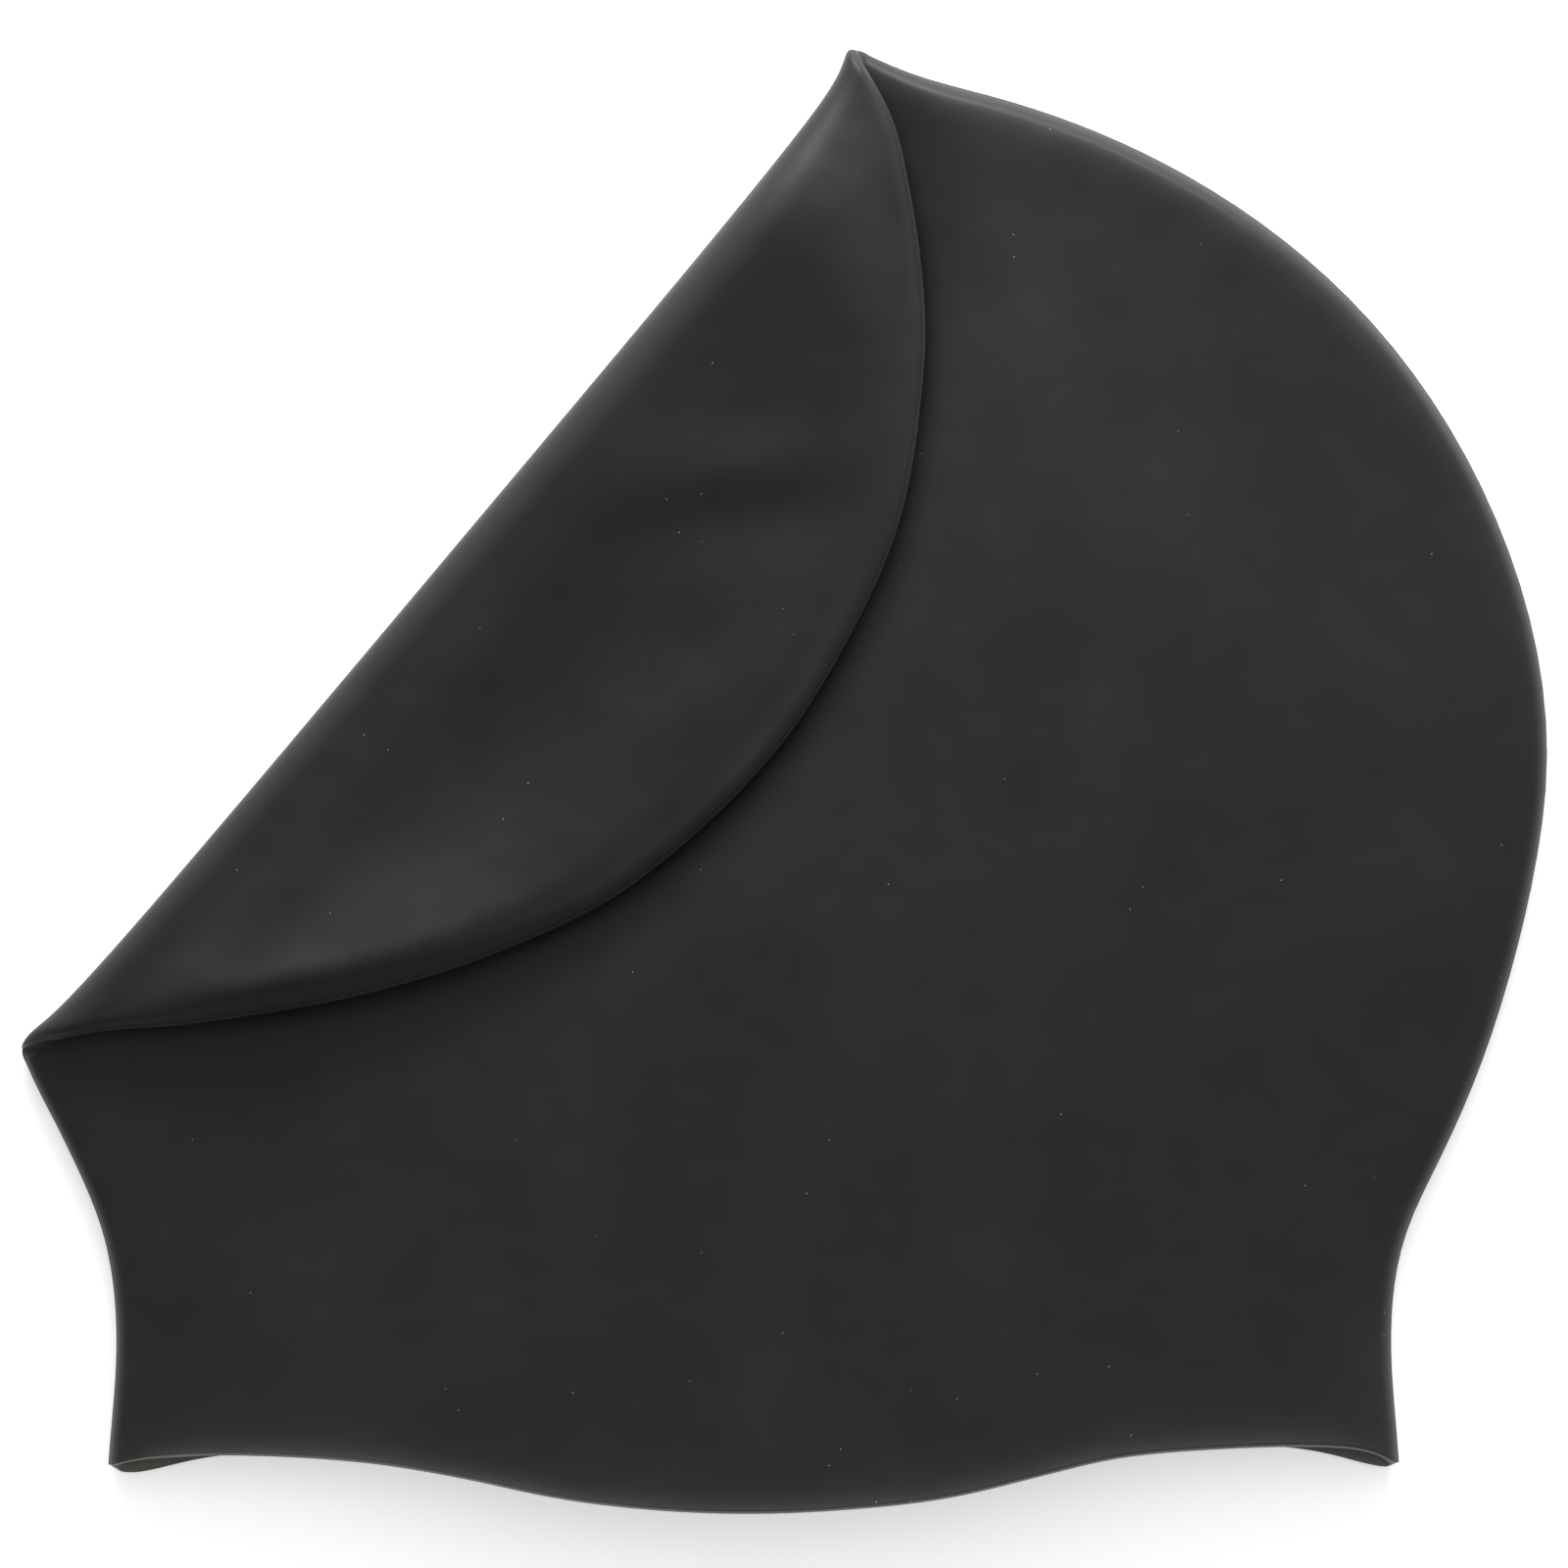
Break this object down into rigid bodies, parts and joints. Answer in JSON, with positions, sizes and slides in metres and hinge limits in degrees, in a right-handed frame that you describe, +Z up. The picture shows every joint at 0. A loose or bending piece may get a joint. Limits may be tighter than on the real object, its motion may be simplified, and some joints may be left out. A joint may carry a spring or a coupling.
{
  "type": "swim cap",
  "caption": "Moulded silicone dome swim cap with ear curves, lying flat with the upper left of its crown folded over onto the rest.",
  "frame": {"origin": "centre of the folded cap's box, on the surface it lies on", "axes": "+X along the rim, +Y from the rim to the crown, +Z up from the surface"},
  "size_m": [0.2106, 0.2018, 0.0133],
  "materials": {
    "silicone": "satin moulded, black"
  },
  "bodies": {
    "root": {"cap": "silicone"}
  },
  "joints": []
}
